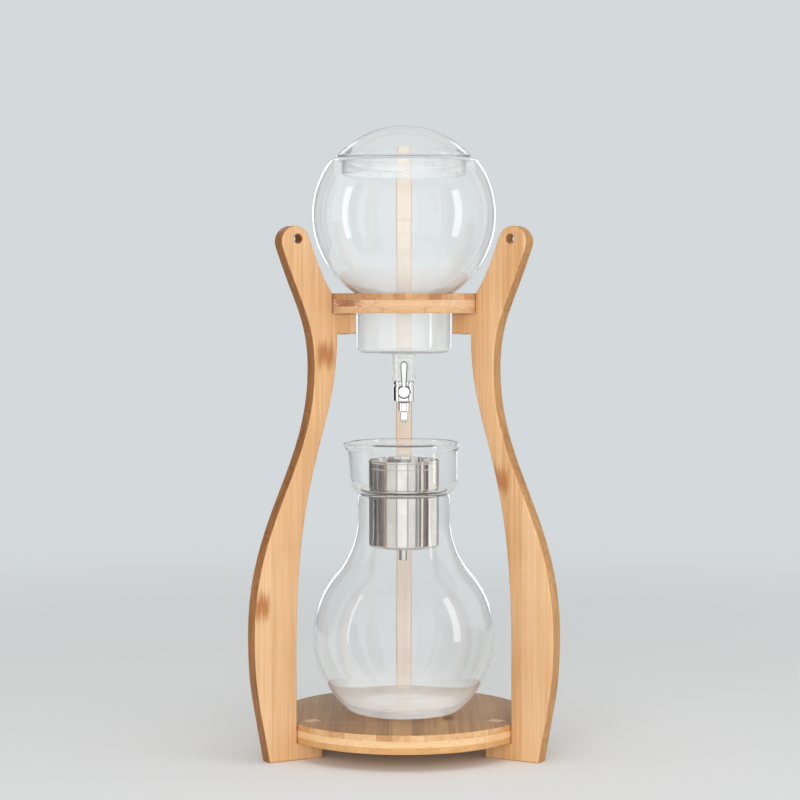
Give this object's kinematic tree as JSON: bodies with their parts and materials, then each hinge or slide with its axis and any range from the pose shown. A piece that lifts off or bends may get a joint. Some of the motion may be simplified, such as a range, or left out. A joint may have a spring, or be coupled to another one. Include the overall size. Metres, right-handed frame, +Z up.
{
  "type": "cold drip coffee tower",
  "caption": "Bamboo stand with waisted plate legs that holds a glass water globe with a drip tap over a glass carafe with a steel coffee filter in its neck.",
  "frame": {"origin": "on the floor, below the middle of the tower's bounding box; the tower's own axis stands 17.95 mm in front of it, at y = -0.01795, because one leg reaches further back than the board reaches forward", "axes": "+Z up, +Y to the back leg, +X to the right as seen from the front; the pouring spout points to -X and the tap's lever is at the front, -Y"},
  "size_m": [0.2372, 0.2304, 0.4856],
  "materials": {
    "bamboo": "side-pressed bamboo board, sanded and clear lacquered",
    "bamboo_board": "cross-laid bamboo board, sanded and clear lacquered",
    "glass": "clear blown borosilicate glass",
    "polished_steel": "mirror-polished stainless steel",
    "chromed_brass": "chrome-plated brass",
    "silicone": "translucent white silicone",
    "seal_rubber": "black silicone ring",
    "o_ring": "black nitrile rubber",
    "screw_steel": "zinc-plated steel",
    "mesh_steel": "etched stainless steel sheet"
  },
  "bodies": {
    "stand": {"leg_front_left": "bamboo", "leg_front_right": "bamboo", "leg_back": "bamboo", "base_board": "bamboo_board", "upper_ring": "bamboo_board", "ring_screws": "screw_steel"},
    "water_globe": {"globe": "glass", "outlet_stopper": "silicone", "valve_stem": "chromed_brass", "valve_body": "chromed_brass", "valve_nozzle": "chromed_brass", "nozzle_seal": "o_ring"},
    "globe_lid": {"lid": "glass"},
    "tap_plug": {"valve_plug": "chromed_brass", "plug_seals": "o_ring", "plug_retainer": "screw_steel", "valve_lever": "chromed_brass"},
    "coffee_carafe": {"carafe": "glass", "carafe_collar": "glass"},
    "coffee_filter": {"filter_seat_ring": "seal_rubber", "filter_collar": "polished_steel", "filter_can": "polished_steel", "filter_mesh": "mesh_steel", "filter_nozzle": "polished_steel"},
    "distributor": {"distributor_disc": "polished_steel"}
  },
  "joints": [
    {"name": "globe_lift", "type": "slide", "parent": "stand", "child": "water_globe", "axis": [0, 0, 1], "range_m": [0, 0.15]},
    {"name": "lid_lift", "type": "slide", "parent": "water_globe", "child": "globe_lid", "axis": [0, 0, 1], "range_m": [0, 0.06]},
    {"name": "tap_turn", "type": "hinge", "parent": "water_globe", "child": "tap_plug", "pos_m": [0, -0.01795, 0.2791], "axis": [0, 1, 0], "range_deg": [0, 90]},
    {"name": "carafe_slide", "type": "slide", "parent": "stand", "child": "coffee_carafe", "axis": [0, -1, 0], "range_m": [0, 0.25]},
    {"name": "filter_lift", "type": "slide", "parent": "coffee_carafe", "child": "coffee_filter", "axis": [0, 0, 1], "range_m": [0, 0.042]},
    {"name": "distributor_lift", "type": "slide", "parent": "coffee_filter", "child": "distributor", "axis": [0, 0, 1], "range_m": [0, 0.042]}
  ]
}
